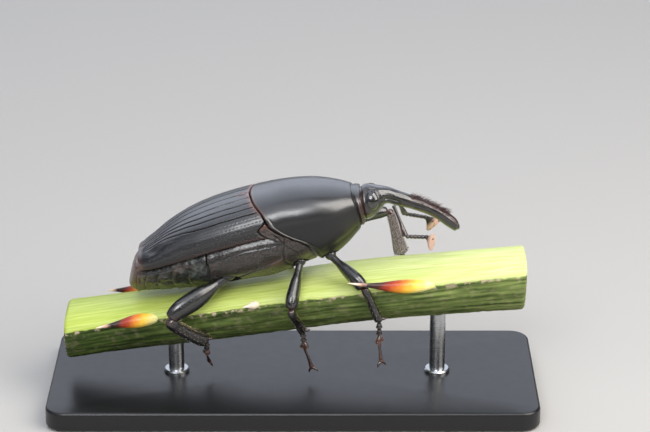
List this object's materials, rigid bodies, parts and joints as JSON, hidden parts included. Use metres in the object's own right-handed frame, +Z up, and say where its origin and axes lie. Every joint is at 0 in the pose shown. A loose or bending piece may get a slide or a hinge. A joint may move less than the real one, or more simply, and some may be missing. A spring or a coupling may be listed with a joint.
{
  "type": "palm weevil model on a stand",
  "caption": "Life-size beetle with a long curved snout gripping a cut length of thorny leaf stalk, held by two rods over a flat base.",
  "frame": {"origin": "centre of the base plate's underside", "axes": "+X the way the beetle's head points, along the stalk; +Y its left side; +Z up"},
  "size_m": [0.074, 0.03, 0.0341],
  "materials": {
    "black_cuticle": "satin black beetle shell with a blue-grey sheen",
    "eye": "glossy black, finely faceted",
    "antenna_club": "velvety pinkish tan",
    "green_stalk": "fresh green leaf stalk with yellow, red and black thorns",
    "stand_base": "satin black acrylic",
    "stand_steel": "fine brushed steel"
  },
  "bodies": {
    "root": {"abdomen": "black_cuticle", "antenna_club_left": "antenna_club", "antenna_club_right": "antenna_club", "antenna_funicle_left": "black_cuticle", "antenna_funicle_right": "black_cuticle", "antenna_scape_left": "black_cuticle", "antenna_scape_right": "black_cuticle", "coxa_front_left": "black_cuticle", "coxa_front_right": "black_cuticle", "coxa_hind_left": "black_cuticle", "coxa_hind_right": "black_cuticle", "coxa_mid_left": "black_cuticle", "coxa_mid_right": "black_cuticle", "elytron_left": "black_cuticle", "elytron_right": "black_cuticle", "eye_left": "eye", "eye_right": "eye", "femur_front_left": "black_cuticle", "femur_front_right": "black_cuticle", "femur_hind_left": "black_cuticle", "femur_hind_right": "black_cuticle", "femur_mid_left": "black_cuticle", "femur_mid_right": "black_cuticle", "head": "black_cuticle", "perch_stalk": "green_stalk", "pronotum": "black_cuticle", "pygidium": "black_cuticle", "rostrum": "black_cuticle", "scutellum": "black_cuticle", "stand_base": "stand_base", "stand_rod_back": "stand_steel", "stand_rod_front": "stand_steel", "tarsus_front_left": "black_cuticle", "tarsus_front_right": "black_cuticle", "tarsus_hind_left": "black_cuticle", "tarsus_hind_right": "black_cuticle", "tarsus_mid_left": "black_cuticle", "tarsus_mid_right": "black_cuticle", "thorax": "black_cuticle", "tibia_front_left": "black_cuticle", "tibia_front_right": "black_cuticle", "tibia_hind_left": "black_cuticle", "tibia_hind_right": "black_cuticle", "tibia_mid_left": "black_cuticle", "tibia_mid_right": "black_cuticle"}
  },
  "joints": []
}
